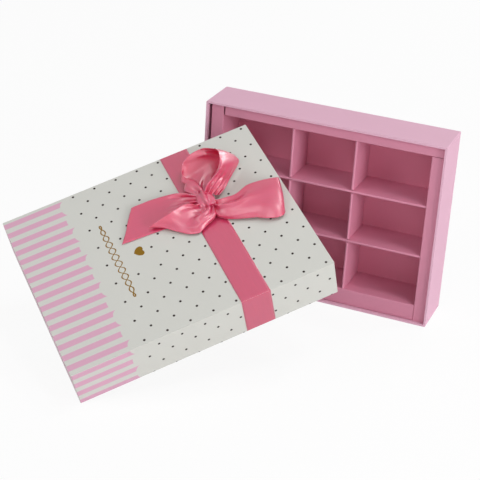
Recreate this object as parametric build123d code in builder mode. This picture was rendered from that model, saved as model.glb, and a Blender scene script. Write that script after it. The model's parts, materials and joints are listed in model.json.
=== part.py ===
from build123d import *
import os
from math import cos, radians, sin

# A rigid two-piece gift box for chocolates, taken apart for display.
# The base stands on one long side wall with its mouth towards -Y.
# The lid leans in front of the mouth, on its near left rim corner, and wears a
# ribbon band with a bow. A card grid for nine sweets slides in the base.
# Origin: the middle of the wall that the base stands on. +Z is up, -Y is the front.

os.makedirs("parts", exist_ok=True)

# Sheets that the box is made of
board_thickness = 1.5
wrap_thickness = 0.15
stay_thickness = 0.12
card_thickness = 0.6
band_thickness = 0.3
bow_cloth_thickness = 0.3

# Lid, outside
lid_length = 225.0
lid_width = 175.3
lid_depth = 38.0
lid_fit_clearance = 0.6

# Base, outside depth: its length and width follow from the lid
base_depth = 44.7

# Wrapped boxes
wrap_turn_in = 15.0
corner_radius = 0.8
stay_leg = 12.0
stay_rim_margin = 2.0
lining_margin = 0.3

# Pose of the lid, degrees, and where its far corner stands
lid_slope = 27.08
lid_turn = 45.47
lean_x = -65.05
lean_gap = 0.35

# Card insert
ledge_recess = 3.0
card_bend_radius = 0.9
left_rail_width = 11.5
left_rail_gap = 2.5
left_rail_corner_radius = 6.5
right_rail_width = 11.0
top_rail_width = 8.6
bottom_rail_width = 15.1
top_rail_gap = 0.9
top_rail_end_gap = 1.5
insert_fit_clearance = 0.15
rail_butt_gap = 0.1

# Dividers: card folded double, crossed with half-laps, keyed into the rails
divider_ply_gap = 1.0
lap_clearance = 0.2
lap_mouth_radius = 1.6
lap_depth_share = 0.5
tab_length = 2.4
tab_middle_share = 0.5
tab_width_share = 0.4
tab_clearance = 0.15
divider_recess = 0.4
long_divider_shares = (0.333, 0.667)
short_divider_shares = (0.347, 0.650)

# Ribbon band round the lid
band_start = 144.0
band_width = 25.0
band_turn_in = 14.0
band_bend_radius = 0.6

# Bow: its ribbon, and how finely its cloth is divided, across and from row to row
bow_cloth_width = 36.0
bow_cells_across = 8
bow_cells_per_row = 3
knot_from_end = 159.5
knot_from_near_side = 107.3
knot_length = 15.0
knot_width = 15.4
knot_height = 10.6
knot_corner_share = 0.3
knot_section_shares = (
    (-0.5, 0.66),
    (-0.3, 0.90),
    (0, 1.00),
    (0.3, 0.90),
    (0.5, 0.66),
)

# Sizes that follow
wall_at_rim = board_thickness + 2 * wrap_thickness
base_length = lid_length - 2 * (wall_at_rim + lid_fit_clearance)
base_height = lid_width - 2 * (wall_at_rim + lid_fit_clearance)
board_inset = wrap_thickness + board_thickness
floor_level = board_inset + wrap_thickness
mouth_y = -base_depth / 2
ledge_y = mouth_y + ledge_recess
insert_floor_y = base_depth / 2 - floor_level
insert_height = insert_floor_y - ledge_y
inner_left = -base_length / 2 + wall_at_rim
inner_right = base_length / 2 - wall_at_rim
inner_top = base_height - wall_at_rim
cell_left = inner_left + left_rail_gap + left_rail_width
cell_right = inner_right - insert_fit_clearance - right_rail_width
cell_bottom = wall_at_rim + insert_fit_clearance + bottom_rail_width
cell_top = inner_top - top_rail_gap - top_rail_width
divider_thickness = 2 * card_thickness + divider_ply_gap

# Directions of the leaning lid: along its length, across it, and out of its top
slope = radians(lid_slope)
turn = radians(lid_turn)
lid_u = Vector(cos(turn), sin(turn) * cos(slope), sin(turn) * sin(slope))
lid_v = Vector(-sin(turn), cos(turn) * cos(slope), cos(turn) * sin(slope))
lid_n = Vector(0, -sin(slope), cos(slope))

# The rounded upright edges lift the lid's foot a little off a square corner's place
rounding = corner_radius * (sin(turn) + cos(turn) - 1)
lid_reach = lid_u * lid_length + lid_v * lid_width
lid_corner = Vector(
    lean_x - lid_reach.X,
    mouth_y - lean_gap + rounding * cos(slope) - lid_reach.Y,
    -rounding * sin(slope),
)


def lid_point(along, across, height):
    """A point of the lid: from its left end, from its near side, up from its rim."""
    return lid_corner + lid_u * along + lid_v * across + lid_n * height


# Each tray is drawn on the outside of its closed panel, with +Z towards the rim
lid_tray = Plane(
    origin=lid_point(lid_length / 2, lid_width / 2, lid_depth),
    x_dir=lid_u,
    z_dir=-lid_n,
)
base_tray = Plane(
    origin=(0, base_depth / 2, base_height / 2),
    x_dir=(1, 0, 0),
    z_dir=(0, -1, 0),
)


def stay_block(tray, length, width, depth, index):
    """The corner space of a tray that one paper stay covers."""
    side_x = 1 if index in (1, 4) else -1
    side_y = 1 if index in (1, 2) else -1
    spot = (
        side_x * (length / 2 - wrap_thickness),
        side_y * (width / 2 - wrap_thickness),
    )
    with BuildPart() as block:
        with BuildSketch(tray.offset(wrap_thickness)):
            with Locations(spot):
                Rectangle(2 * stay_leg, 2 * stay_leg)
        extrude(amount=depth - 2 * wrap_thickness - stay_rim_margin)
    return block.part


def corner_stay(tray, length, width, depth, index):
    """A strip of paper folded round one corner of the board, under the wrap."""
    outer_radius = corner_radius - wrap_thickness
    inset = wrap_thickness + stay_thickness
    with BuildPart() as stay:
        with BuildSketch(tray.offset(wrap_thickness)):
            RectangleRounded(
                length - 2 * wrap_thickness,
                width - 2 * wrap_thickness,
                outer_radius,
            )
            RectangleRounded(
                length - 2 * inset,
                width - 2 * inset,
                outer_radius - stay_thickness,
                mode=Mode.SUBTRACT,
            )
        extrude(amount=depth)
        add(stay_block(tray, length, width, depth, index), mode=Mode.INTERSECT)
    return stay.part


def tray_board(tray, length, width, depth):
    """The greyboard tray: one panel and four walls, relieved for its corner stays."""
    with BuildPart() as board:
        with BuildSketch(tray.offset(wrap_thickness)):
            RectangleRounded(
                length - 2 * wrap_thickness,
                width - 2 * wrap_thickness,
                corner_radius - wrap_thickness,
            )
        extrude(amount=depth - 2 * wrap_thickness)
        with BuildSketch(tray.offset(board_inset)):
            Rectangle(length - 2 * board_inset, width - 2 * board_inset)
        extrude(amount=depth, mode=Mode.SUBTRACT)
        for index in (1, 2, 3, 4):
            add(corner_stay(tray, length, width, depth, index), mode=Mode.SUBTRACT)
    return board.part


def tray_wrap(tray, length, width, depth):
    """The cover paper: outside of the tray, over its rim and a strip down inside."""
    with BuildPart() as wrap:
        with BuildSketch(tray):
            RectangleRounded(length, width, corner_radius)
        extrude(amount=depth)
        with BuildSketch(tray.offset(wrap_thickness)):
            RectangleRounded(
                length - 2 * wrap_thickness,
                width - 2 * wrap_thickness,
                corner_radius - wrap_thickness,
            )
        extrude(amount=depth - 2 * wrap_thickness, mode=Mode.SUBTRACT)
        with BuildSketch(tray.offset(depth - wrap_turn_in)):
            Rectangle(length - 2 * board_inset, width - 2 * board_inset)
        extrude(amount=wrap_turn_in)
        with BuildSketch(tray.offset(depth - wrap_turn_in)):
            Rectangle(length - 2 * floor_level, width - 2 * floor_level)
        extrude(amount=wrap_turn_in, mode=Mode.SUBTRACT)
    return wrap.part


def tray_lining(tray, length, width):
    """A loose-cut sheet of paper glued over the inside of the closed panel."""
    inset = floor_level + lining_margin
    with BuildPart() as lining:
        with BuildSketch(tray.offset(board_inset)):
            Rectangle(length - 2 * inset, width - 2 * inset)
        extrude(amount=wrap_thickness)
    return lining.part


# Lid box and base box: board, corner stays, wrap and lining of each
for side, tray, length, width, depth in (
    ("lid", lid_tray, lid_length, lid_width, lid_depth),
    ("base", base_tray, base_length, base_height, base_depth),
):
    with BuildPart() as box_board:
        add(tray_board(tray, length, width, depth))
    box_board.part.label = f"{side}_board"
    export_step(box_board.part, f"parts/{side}_board.step")

    for index in (1, 2, 3, 4):
        with BuildPart() as box_stay:
            add(corner_stay(tray, length, width, depth, index))
        box_stay.part.label = f"{side}_corner_stay_{index}"
        export_step(box_stay.part, f"parts/{side}_corner_stay_{index}.step")

    with BuildPart() as box_wrap:
        add(tray_wrap(tray, length, width, depth))
    box_wrap.part.label = f"{side}_wrap"
    export_step(box_wrap.part, f"parts/{side}_wrap.step")

    with BuildPart() as box_lining:
        add(tray_lining(tray, length, width))
    box_lining.part.label = f"{side}_lining"
    export_step(box_lining.part, f"parts/{side}_lining.step")


# Card insert: four folded rails whose ledges face the mouth
def folded_rail(plane, rail_width, rail_length):
    """A hollow channel of card: outer leg, ledge and inner wall, open at the back.

    The plane's +X runs from the ledge to the open edges, its +Z along the rail.
    """
    with BuildPart() as rail:
        with BuildSketch(plane) as profile:
            Rectangle(insert_height, rail_width, align=(Align.MIN, Align.MIN))
            fillet(profile.vertices().group_by(Axis.X)[0], radius=card_bend_radius)
            with Locations((card_thickness, card_thickness)):
                Rectangle(
                    insert_height,
                    rail_width - 2 * card_thickness,
                    align=(Align.MIN, Align.MIN),
                    mode=Mode.SUBTRACT,
                )
            fillet(
                profile.vertices().group_by(Axis.X)[1],
                radius=card_bend_radius - card_thickness,
            )
        extrude(amount=rail_length)
    return rail.part


rail_bottom_z = wall_at_rim + insert_fit_clearance
rail_top_z = inner_top - top_rail_gap
cell_width = cell_right - cell_left
cell_height = cell_top - cell_bottom
long_divider_z = [cell_bottom + share * cell_height for share in long_divider_shares]
short_divider_x = [cell_left + share * cell_width for share in short_divider_shares]
tab_y = ledge_y + tab_middle_share * insert_height
tab_width = tab_width_share * insert_height
slot_width = tab_width + 2 * tab_clearance
slot_thickness = divider_thickness + 2 * tab_clearance

# Left rail: stands off the wall, full height, with a rounded free upper corner
with BuildPart() as insert_rail_left:
    rail_start = Plane(
        origin=(cell_left - left_rail_width, ledge_y, rail_top_z),
        x_dir=(0, 1, 0),
        z_dir=(0, 0, -1),
    )
    add(folded_rail(rail_start, left_rail_width, rail_top_z - rail_bottom_z))
    for divider_z in long_divider_z:
        with Locations((cell_left - card_thickness / 2, tab_y, divider_z)):
            Box(2 * card_thickness, slot_width, slot_thickness, mode=Mode.SUBTRACT)
    free_corner = Plane(
        origin=(cell_left, ledge_y, rail_top_z),
        x_dir=(-1, 0, 0),
        z_dir=(0, 1, 0),
    )
    with BuildSketch(free_corner):
        Rectangle(
            left_rail_corner_radius,
            left_rail_corner_radius,
            align=(Align.MIN, Align.MIN),
        )
        with Locations((left_rail_corner_radius, left_rail_corner_radius)):
            Circle(left_rail_corner_radius, mode=Mode.SUBTRACT)
    extrude(amount=insert_height, mode=Mode.SUBTRACT)
    with BuildSketch(free_corner.offset(card_bend_radius)):
        Rectangle(
            card_thickness,
            left_rail_corner_radius,
            align=(Align.MIN, Align.MIN),
        )
    extrude(amount=insert_height, mode=Mode.SUBTRACT)
insert_rail_left.part.label = "insert_rail_left"
export_step(insert_rail_left.part, "parts/insert_rail_left.step")

# Right rail: close to the wall, ending under the top rail
right_rail_top = cell_top - rail_butt_gap
with BuildPart() as insert_rail_right:
    rail_start = Plane(
        origin=(cell_right, ledge_y, right_rail_top),
        x_dir=(0, 1, 0),
        z_dir=(0, 0, -1),
    )
    add(folded_rail(rail_start, right_rail_width, right_rail_top - rail_bottom_z))
    for divider_z in long_divider_z:
        with Locations((cell_right + card_thickness / 2, tab_y, divider_z)):
            Box(2 * card_thickness, slot_width, slot_thickness, mode=Mode.SUBTRACT)
insert_rail_right.part.label = "insert_rail_right"
export_step(insert_rail_right.part, "parts/insert_rail_right.step")

# Top rail: from a narrow gap beside the left rail over to the right corner
top_rail_start = cell_left + top_rail_end_gap
top_rail_length = inner_right - insert_fit_clearance - top_rail_start
with BuildPart() as insert_rail_top:
    rail_start = Plane(
        origin=(top_rail_start, ledge_y, cell_top),
        x_dir=(0, 1, 0),
        z_dir=(1, 0, 0),
    )
    add(folded_rail(rail_start, top_rail_width, top_rail_length))
    for divider_x in short_divider_x:
        with Locations((divider_x, tab_y, cell_top + card_thickness / 2)):
            Box(slot_thickness, slot_width, 2 * card_thickness, mode=Mode.SUBTRACT)
insert_rail_top.part.label = "insert_rail_top"
export_step(insert_rail_top.part, "parts/insert_rail_top.step")

# Bottom rail: between the left and the right rail
bottom_rail_start = cell_left + rail_butt_gap
with BuildPart() as insert_rail_bottom:
    rail_start = Plane(
        origin=(bottom_rail_start, ledge_y, rail_bottom_z),
        x_dir=(0, 1, 0),
        z_dir=(1, 0, 0),
    )
    add(folded_rail(rail_start, bottom_rail_width, cell_width - 2 * rail_butt_gap))
    for divider_x in short_divider_x:
        with Locations((divider_x, tab_y, cell_bottom - card_thickness / 2)):
            Box(slot_thickness, slot_width, 2 * card_thickness, mode=Mode.SUBTRACT)
insert_rail_bottom.part.label = "insert_rail_bottom"
export_step(insert_rail_bottom.part, "parts/insert_rail_bottom.step")


# Dividers: card folded double with its rounded fold to the front
def folded_divider(plane, run):
    """A double wall of card with a key tab at each end.

    The plane's +X runs from the fold to the open edges, its +Z along the divider.
    """
    fold_radius = divider_thickness / 2
    fold_x = divider_recess + fold_radius
    ply_middle = (divider_ply_gap + card_thickness) / 2
    with BuildPart() as divider:
        with BuildSketch(plane):
            with Locations((fold_x, 0)):
                Circle(fold_radius)
                Rectangle(
                    insert_height - fold_x,
                    divider_thickness,
                    align=(Align.MIN, Align.CENTER),
                )
                Circle(divider_ply_gap / 2, mode=Mode.SUBTRACT)
                Rectangle(
                    insert_height,
                    divider_ply_gap,
                    align=(Align.MIN, Align.CENTER),
                    mode=Mode.SUBTRACT,
                )
        extrude(amount=run)
        with BuildSketch(plane.offset(-tab_length)):
            with Locations(
                (tab_middle_share * insert_height, ply_middle),
                (tab_middle_share * insert_height, -ply_middle),
            ):
                Rectangle(tab_width, card_thickness)
        extrude(amount=run + 2 * tab_length)
    return divider.part


lap_y = ledge_y + lap_depth_share * insert_height
lap_width = divider_thickness + 2 * lap_clearance

# Long dividers: the fold runs on unbroken, the half-lap slots open to the back
for index, divider_z in enumerate(long_divider_z, start=1):
    with BuildPart() as long_divider:
        divider_start = Plane(
            origin=(cell_left + rail_butt_gap, ledge_y, divider_z),
            x_dir=(0, 1, 0),
            z_dir=(1, 0, 0),
        )
        add(folded_divider(divider_start, cell_width - 2 * rail_butt_gap))
        for divider_x in short_divider_x:
            with Locations((divider_x, lap_y, divider_z)):
                Box(
                    lap_width,
                    insert_height,
                    2 * divider_thickness,
                    align=(Align.CENTER, Align.MIN, Align.CENTER),
                    mode=Mode.SUBTRACT,
                )
    long_divider.part.label = f"divider_long_{index}"
    export_step(long_divider.part, f"parts/divider_long_{index}.step")

# Short dividers: half-lap slots open to the front, with rounded mouths
for index, divider_x in enumerate(short_divider_x, start=1):
    with BuildPart() as short_divider:
        divider_start = Plane(
            origin=(divider_x, ledge_y, cell_top - rail_butt_gap),
            x_dir=(0, 1, 0),
            z_dir=(0, 0, -1),
        )
        add(folded_divider(divider_start, cell_height - 2 * rail_butt_gap))
        for divider_z in long_divider_z:
            slot_plane = Plane(
                origin=(divider_x, ledge_y + divider_recess, divider_z),
                x_dir=(0, 1, 0),
                z_dir=(1, 0, 0),
            )
            mouth_side = lap_width / 2 + lap_mouth_radius
            with BuildSketch(slot_plane):
                Rectangle(
                    lap_mouth_radius,
                    2 * mouth_side,
                    align=(Align.MIN, Align.CENTER),
                )
                with Locations(
                    (lap_mouth_radius, mouth_side),
                    (lap_mouth_radius, -mouth_side),
                ):
                    Circle(lap_mouth_radius, mode=Mode.SUBTRACT)
                Rectangle(
                    lap_y + lap_clearance - ledge_y - divider_recess,
                    lap_width,
                    align=(Align.MIN, Align.CENTER),
                )
            extrude(amount=divider_thickness, both=True, mode=Mode.SUBTRACT)
    short_divider.part.label = f"divider_short_{index}"
    export_step(short_divider.part, f"parts/divider_short_{index}.step")

# Ribbon band: across the lid, down both skirts and turned in under the rim
with BuildPart() as ribbon_band:
    band_plane = Plane(
        origin=lid_point(band_start, 0, 0),
        x_dir=lid_v,
        z_dir=lid_u,
    )
    band_inside = wall_at_rim + band_thickness
    with BuildSketch(band_plane) as band_profile:
        with Locations((-band_thickness, -band_thickness)):
            Rectangle(
                lid_width + 2 * band_thickness,
                lid_depth + 2 * band_thickness,
                align=(Align.MIN, Align.MIN),
            )
        fillet(band_profile.vertices(), radius=band_bend_radius)
        Rectangle(
            lid_width,
            lid_depth,
            align=(Align.MIN, Align.MIN),
            mode=Mode.SUBTRACT,
        )
        with Locations((wall_at_rim, -band_thickness)):
            Rectangle(
                lid_width - 2 * wall_at_rim,
                band_turn_in + band_thickness,
                align=(Align.MIN, Align.MIN),
            )
        with Locations((band_inside, -band_thickness)):
            Rectangle(
                lid_width - 2 * band_inside,
                band_turn_in + band_thickness,
                align=(Align.MIN, Align.MIN),
                mode=Mode.SUBTRACT,
            )
    extrude(amount=band_width)
ribbon_band.part.label = "ribbon_band"
export_step(ribbon_band.part, "parts/ribbon_band.step")


# Bow: every place on it is given from the knot's foot, in shares of the cloth's width:
# along the lid, across it and up from its top
def bow_point(shares):
    """A point of the bow in space."""
    along, across, up = shares
    return lid_point(
        knot_from_end + along * bow_cloth_width,
        knot_from_near_side + across * bow_cloth_width,
        lid_depth + up * bow_cloth_width,
    )


def led_through(places, station):
    """A point on a smooth line through some places, at a count of places along it."""
    start_number = min(int(station), len(places) - 2)
    part = station - start_number
    before = places[max(start_number - 1, 0)]
    start, end = places[start_number], places[start_number + 1]
    after = places[min(start_number + 2, len(places) - 1)]
    straight = start * 2 + (end - before) * part
    bend = (before * 2 - start * 5 + end * 4 - after) * part**2
    turn = (start * 3 - before - end * 3 + after) * part**3
    return (straight + bend + turn) * 0.5


def cloth_grid(row_shares):
    """Places on a ribbon: lines across it, each from one of its edges to the other."""
    crossings = []
    for row in row_shares:
        places = [bow_point(shares) for shares in row]
        spans = len(places) - 1
        crossings.append(
            [
                led_through(places, spans * step / bow_cells_across)
                for step in range(bow_cells_across + 1)
            ]
        )
    columns = list(zip(*crossings))
    stations = (len(row_shares) - 1) * bow_cells_per_row
    return [
        [led_through(column, step / bow_cells_per_row) for column in columns]
        for step in range(stations + 1)
    ]


def cloth_side(grid, lift):
    """A grid's places moved square to the cloth by a length."""
    last_line, last_column = len(grid) - 1, len(grid[0]) - 1
    side = []
    for number, line in enumerate(grid):
        after = grid[min(number + 1, last_line)]
        before = grid[max(number - 1, 0)]
        moved = []
        for column, place in enumerate(line):
            onward = after[column] - before[column]
            sideways = line[min(column + 1, last_column)] - line[max(column - 1, 0)]
            moved.append(place + sideways.cross(onward).normalized() * lift)
        side.append(moved)
    return side


def facets(one_line, next_line):
    """Triangles that fill the strip between two lines of places."""
    made = []
    for step in range(len(one_line) - 1):
        one, two = one_line[step], one_line[step + 1]
        three, four = next_line[step + 1], next_line[step]
        for corners in ((one, two, three), (one, three, four)):
            made.append(Face(Wire.make_polygon(corners)))
    return made


def ribbon_cloth(row_shares):
    """A length of ribbon led through rows of places, as a thin closed solid."""
    grid = cloth_grid(row_shares)
    upper = cloth_side(grid, bow_cloth_thickness / 2)
    under = cloth_side(grid, -bow_cloth_thickness / 2)
    skin = []
    for side in (upper, under):
        for line, next_line in zip(side, side[1:]):
            skin += facets(line, next_line)
    for end in (0, -1):
        skin += facets(upper[end], under[end])
        edge_above = [line[end] for line in upper]
        edge_below = [line[end] for line in under]
        skin += facets(edge_above, edge_below)
    return Solid(Shell(skin))


# Tail: from the knot to the left end, with its end cut on the slant
bow_tail_shares = (
    ((-0.267, -0.042, 0.061), (-0.261, 0.097, 0.128), (-0.211, 0.272, 0.128)),
    ((-0.350, -0.117, 0.044), (-0.356, 0.042, 0.117), (-0.333, 0.178, 0.144), (-0.289, 0.344, 0.133)),
    ((-0.475, -0.175, 0.033), (-0.475, 0.086, 0.100), (-0.436, 0.244, 0.128), (-0.375, 0.442, 0.128)),
    ((-0.708, -0.239, 0.028), (-0.678, 0.108, 0.072), (-0.611, 0.331, 0.100), (-0.544, 0.564, 0.117)),
    ((-0.944, -0.239, 0.022), (-0.931, 0.153, 0.050), (-0.853, 0.408, 0.078), (-0.781, 0.647, 0.106)),
    ((-1.200, -0.214, 0.022), (-1.208, 0.194, 0.044), (-1.156, 0.469, 0.067), (-1.089, 0.706, 0.094)),
    ((-1.625, -0.181, 0.022), (-1.575, 0.161, 0.044), (-1.475, 0.453, 0.061), (-1.336, 0.722, 0.083)),
    ((-1.939, -0.167, 0.028), (-1.833, 0.103, 0.047), (-1.697, 0.375, 0.061), (-1.497, 0.731, 0.078)),
    ((-2.167, -0.156, 0.033), (-1.978, 0.106, 0.047), (-1.806, 0.397, 0.061), (-1.586, 0.733, 0.072)),
)
with BuildPart() as bow_tail:
    add(ribbon_cloth(bow_tail_shares))
bow_tail.part.label = "bow_tail"
export_step(bow_tail.part, "parts/bow_tail.step")

# Left loop: out over the tail, round a slanted fold and back beneath
bow_left_loop_shares = (
    ((0.006, -0.356, 0.094), (-0.167, -0.267, 0.183), (-0.328, -0.050, 0.222)),
    ((0.011, -0.472, 0.083), (-0.100, -0.406, 0.206), (-0.206, -0.289, 0.244), (-0.339, -0.044, 0.239)),
    ((-0.083, -0.558, 0.072), (-0.200, -0.467, 0.211), (-0.283, -0.306, 0.261), (-0.378, -0.017, 0.256)),
    ((-0.250, -0.639, 0.067), (-0.369, -0.481, 0.200), (-0.439, -0.272, 0.267), (-0.506, 0.019, 0.261)),
    ((-0.383, -0.711, 0.067), (-0.508, -0.458, 0.178), (-0.578, -0.231, 0.256), (-0.661, 0.042, 0.239)),
    ((-0.475, -0.753, 0.067), (-0.656, -0.447, 0.150), (-0.753, -0.208, 0.211), (-0.847, 0.033, 0.206)),
    ((-0.556, -0.736, 0.067), (-0.781, -0.450, 0.122), (-0.911, -0.211, 0.161), (-1.056, 0.008, 0.167)),
    ((-0.656, -0.694, 0.064), (-0.892, -0.431, 0.106), (-1.058, -0.203, 0.133), (-1.264, -0.022, 0.133)),
    ((-0.736, -0.633, 0.053), (-0.967, -0.425, 0.081), (-1.161, -0.228, 0.097), (-1.442, -0.050, 0.100)),
    ((-0.708, -0.578, 0.028), (-0.908, -0.381, 0.061), (-1.086, -0.172, 0.078), (-1.353, -0.044, 0.081)),
    ((-0.583, -0.572, 0.025), (-0.833, -0.333, 0.047), (-1.208, -0.069, 0.075)),
    ((-0.417, -0.564, 0.028), (-0.667, -0.319, 0.050), (-0.986, -0.069, 0.078)),
    ((-0.222, -0.514, 0.036), (-0.439, -0.283, 0.069), (-0.722, -0.072, 0.092)),
    ((-0.083, -0.433, 0.047), (-0.272, -0.272, 0.094), (-0.483, -0.072, 0.119)),
    ((-0.011, -0.356, 0.058), (-0.172, -0.261, 0.117), (-0.328, -0.072, 0.150)),
)
with BuildPart() as bow_left_loop:
    add(ribbon_cloth(bow_left_loop_shares))
bow_left_loop.part.label = "bow_left_loop"
export_step(bow_left_loop.part, "parts/bow_left_loop.step")

# Right loop: flat, out to a broad fold and back beneath
bow_right_loop_shares = (
    ((0.139, -0.294, 0.106), (0.250, -0.194, 0.200), (0.317, -0.033, 0.194)),
    ((0.128, -0.467, 0.078), (0.217, -0.383, 0.200), (0.372, -0.117, 0.206)),
    ((0.175, -0.622, 0.069), (0.261, -0.550, 0.200), (0.356, -0.400, 0.256), (0.444, -0.217, 0.211)),
    ((0.344, -0.764, 0.072), (0.458, -0.675, 0.206), (0.603, -0.475, 0.283), (0.683, -0.256, 0.228)),
    ((0.586, -0.889, 0.083), (0.744, -0.736, 0.222), (0.933, -0.436, 0.300), (0.994, -0.172, 0.250)),
    ((0.828, -1.006, 0.094), (1.019, -0.817, 0.228), (1.236, -0.489, 0.306), (1.300, -0.178, 0.261)),
    ((1.028, -1.156, 0.106), (1.231, -0.933, 0.222), (1.467, -0.536, 0.283), (1.536, -0.208, 0.250)),
    ((1.239, -1.242, 0.100), (1.403, -1.006, 0.194), (1.592, -0.611, 0.244), (1.675, -0.242, 0.233)),
    ((1.383, -1.236, 0.083), (1.500, -1.017, 0.150), (1.631, -0.664, 0.194), (1.736, -0.236, 0.194)),
    ((1.461, -1.172, 0.053), (1.542, -0.956, 0.094), (1.653, -0.625, 0.133), (1.744, -0.222, 0.150)),
    ((1.406, -1.119, 0.028), (1.489, -0.903, 0.061), (1.594, -0.583, 0.094), (1.678, -0.222, 0.117)),
    ((1.222, -1.067, 0.022), (1.333, -0.667, 0.053), (1.428, -0.239, 0.094)),
    ((0.944, -0.958, 0.022), (1.014, -0.597, 0.047), (1.083, -0.233, 0.083)),
    ((0.611, -0.764, 0.022), (0.694, -0.472, 0.050), (0.778, -0.206, 0.089)),
    ((0.317, -0.567, 0.028), (0.400, -0.361, 0.064), (0.511, -0.167, 0.103)),
    ((0.178, -0.422, 0.039), (0.272, -0.267, 0.086), (0.383, -0.117, 0.122)),
    ((0.150, -0.306, 0.061), (0.244, -0.206, 0.106), (0.311, -0.067, 0.133)),
)
with BuildPart() as bow_right_loop:
    add(ribbon_cloth(bow_right_loop_shares))
bow_right_loop.part.label = "bow_right_loop"
export_step(bow_right_loop.part, "parts/bow_right_loop.step")

# Top loop: open towards the near side, up on edge and back down to the knot
bow_top_loop_shares = (
    ((-0.069, 0.244, 0.200), (-0.044, 0.256, 0.139), (0.083, 0.250, 0.067)),
    (
        (-0.017, 0.317, 0.267),
        (-0.164, 0.356, 0.156),
        (-0.028, 0.428, 0.050),
        (0.178, 0.433, 0.033),
        (0.328, 0.433, 0.028),
    ),
    (
        (-0.128, 0.639, 0.256),
        (-0.278, 0.578, 0.133),
        (-0.044, 0.711, 0.031),
        (0.297, 0.728, 0.025),
        (0.569, 0.672, 0.025),
    ),
    (
        (-0.183, 0.925, 0.211),
        (-0.250, 0.900, 0.111),
        (0.000, 0.972, 0.031),
        (0.397, 0.978, 0.025),
        (0.742, 0.831, 0.025),
    ),
    (
        (-0.111, 1.175, 0.211),
        (0.006, 1.211, 0.100),
        (0.283, 1.206, 0.031),
        (0.622, 1.150, 0.025),
        (0.875, 0.967, 0.025),
    ),
    ((0.022, 1.292, 0.250), (0.272, 1.311, 0.094), (0.608, 1.256, 0.036), (1.003, 1.042, 0.028)),
    ((0.228, 1.336, 0.333), (0.467, 1.325, 0.139), (0.761, 1.256, 0.061), (1.097, 1.083, 0.039)),
    ((0.475, 1.253, 0.472), (0.739, 1.281, 0.236), (0.961, 1.203, 0.125), (1.147, 1.081, 0.067)),
    ((0.642, 1.028, 0.597), (0.861, 1.097, 0.361), (1.042, 1.081, 0.194), (1.167, 1.006, 0.094)),
    ((0.725, 0.811, 0.681), (0.911, 0.889, 0.486), (1.075, 0.917, 0.278), (1.175, 0.892, 0.122)),
    ((0.656, 0.508, 0.722), (0.853, 0.669, 0.542), (1.039, 0.753, 0.319), (1.175, 0.772, 0.139)),
    ((0.589, 0.300, 0.694), (0.769, 0.442, 0.542), (0.953, 0.553, 0.333), (1.072, 0.639, 0.144)),
    ((0.494, 0.233, 0.597), (0.631, 0.306, 0.486), (0.769, 0.375, 0.319), (0.886, 0.492, 0.144)),
    ((0.342, 0.222, 0.486), (0.453, 0.228, 0.417), (0.575, 0.244, 0.292), (0.689, 0.356, 0.139)),
    ((0.194, 0.222, 0.378), (0.272, 0.183, 0.333), (0.372, 0.178, 0.250), (0.461, 0.239, 0.133)),
    ((0.100, 0.244, 0.261), (0.172, 0.247, 0.189), (0.239, 0.250, 0.106)),
)
with BuildPart() as bow_top_loop:
    add(ribbon_cloth(bow_top_loop_shares))
bow_top_loop.part.label = "bow_top_loop"
export_step(bow_top_loop.part, "parts/bow_top_loop.step")

# Knot: a short strap of ribbon drawn tight round the middle of the bow
with BuildPart() as bow_knot:
    for side, size_share in knot_section_shares:
        knot_plane = Plane(
            origin=lid_point(
                knot_from_end + side * knot_length,
                knot_from_near_side,
                lid_depth + band_thickness + knot_height / 2,
            ),
            x_dir=lid_v,
            z_dir=lid_u,
        )
        with BuildSketch(knot_plane) as knot_section:
            Rectangle(knot_width * size_share, knot_height * size_share)
            chamfer(
                knot_section.vertices(),
                length=knot_height * size_share * knot_corner_share,
            )
    loft(ruled=True)
bow_knot.part.label = "bow_knot"
export_step(bow_knot.part, "parts/bow_knot.step")
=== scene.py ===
# %% [markdown]
# # A gift box for chocolates
# The box is in two pieces: a pink base that stands on one side wall with its mouth
# to the front, and a printed lid that leans in front of it. The rigid pieces come
# ready from the CAD model. They could be modelled again here, but then two models
# would have to be kept alike. So this lesson keeps them as they are, gives them
# paper, board and card, and makes only what is soft: the satin ribbon and its bow.

import json
import math

import bmesh
import bpy
from mathutils import Matrix, Vector


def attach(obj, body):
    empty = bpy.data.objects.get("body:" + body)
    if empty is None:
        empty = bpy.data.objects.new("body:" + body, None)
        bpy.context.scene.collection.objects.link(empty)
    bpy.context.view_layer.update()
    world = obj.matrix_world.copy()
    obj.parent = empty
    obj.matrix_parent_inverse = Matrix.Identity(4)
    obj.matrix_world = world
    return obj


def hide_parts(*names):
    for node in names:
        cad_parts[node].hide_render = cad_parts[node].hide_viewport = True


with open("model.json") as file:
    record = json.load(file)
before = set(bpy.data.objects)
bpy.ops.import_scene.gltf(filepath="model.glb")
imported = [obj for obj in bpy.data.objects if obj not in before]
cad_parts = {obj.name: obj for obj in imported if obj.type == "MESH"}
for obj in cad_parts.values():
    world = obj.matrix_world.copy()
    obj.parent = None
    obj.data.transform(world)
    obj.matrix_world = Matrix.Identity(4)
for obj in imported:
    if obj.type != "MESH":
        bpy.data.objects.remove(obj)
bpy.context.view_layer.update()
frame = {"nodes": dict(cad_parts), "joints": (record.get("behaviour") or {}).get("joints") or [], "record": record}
nodes = frame["nodes"]
MM = 0.001

# %% [markdown]
# The camera stands where the photograph was taken from: to the right, above and
# well away, behind a long lens that keeps the box's edges nearly parallel. It could
# be aimed at the box with a constraint, but a camera held in the hand is also turned
# a little about its own line of sight. So its place and its three angles are named
# values, and the directions of its picture are worked out from them.

# %% Camera
azimuth, elevation, roll = (math.radians(angle) for angle in (21.10, 25.26, 3.56))
eye = Vector((357.5, -1130.6, 603.9)) * MM
lens_length, film_width, sight_end = 107.85, 36.0, 20.0

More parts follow.
